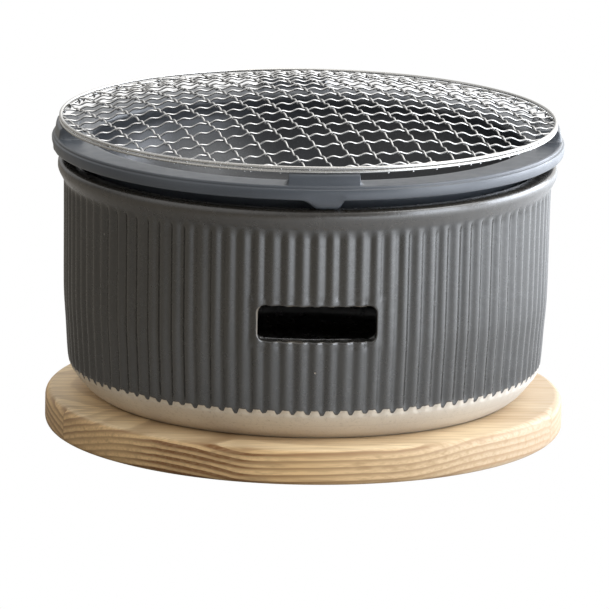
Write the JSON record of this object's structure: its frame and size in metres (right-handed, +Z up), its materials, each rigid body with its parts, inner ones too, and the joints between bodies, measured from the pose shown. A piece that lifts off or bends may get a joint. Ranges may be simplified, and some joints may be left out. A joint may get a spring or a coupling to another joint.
{
  "type": "hibachi grill",
  "caption": "Round table-top charcoal grill: reeded stoneware body on a wooden board, with a lift-out fire pan, perforated grate and domed wire net.",
  "frame": {"origin": "centre of the board's flat underside", "axes": "+Z up along the grill's axis; the front draught slot faces -Y"},
  "size_m": [0.266, 0.266, 0.1768],
  "materials": {
    "board_wood": "sanded softwood with strong growth rings, clear matt finish",
    "body_glaze": "dark warm-grey satin glaze over an unglazed buff foot",
    "pan_coating": "smooth blue-grey satin heat-resistant coating",
    "grate_iron": "sand-cast, dark and matt",
    "net_rim_steel": "bright drawn stainless wire",
    "net_wire_steel": "bright crimped stainless wire"
  },
  "bodies": {
    "board": {"base_board": "board_wood"},
    "body": {"ceramic_body": "body_glaze"},
    "pan": {"fire_pan": "pan_coating"},
    "grate": {"charcoal_grate": "grate_iron"},
    "net": {"net_rim_lower": "net_rim_steel", "net_rim_upper": "net_rim_steel", "net_wires_across": "net_wire_steel", "net_wires_along": "net_wire_steel"}
  },
  "joints": [
    {"name": "body_lift", "type": "slide", "parent": "board", "child": "body", "axis": [0, 0, 1], "range_m": [0, 0.05]},
    {"name": "pan_lift", "type": "slide", "parent": "body", "child": "pan", "axis": [0, 0, 1], "range_m": [0, 0.09]},
    {"name": "grate_lift", "type": "slide", "parent": "pan", "child": "grate", "axis": [0, 0, 1], "range_m": [0, 0.04]},
    {"name": "net_lift", "type": "slide", "parent": "pan", "child": "net", "axis": [0, 0, 1], "range_m": [0, 0.1]}
  ]
}
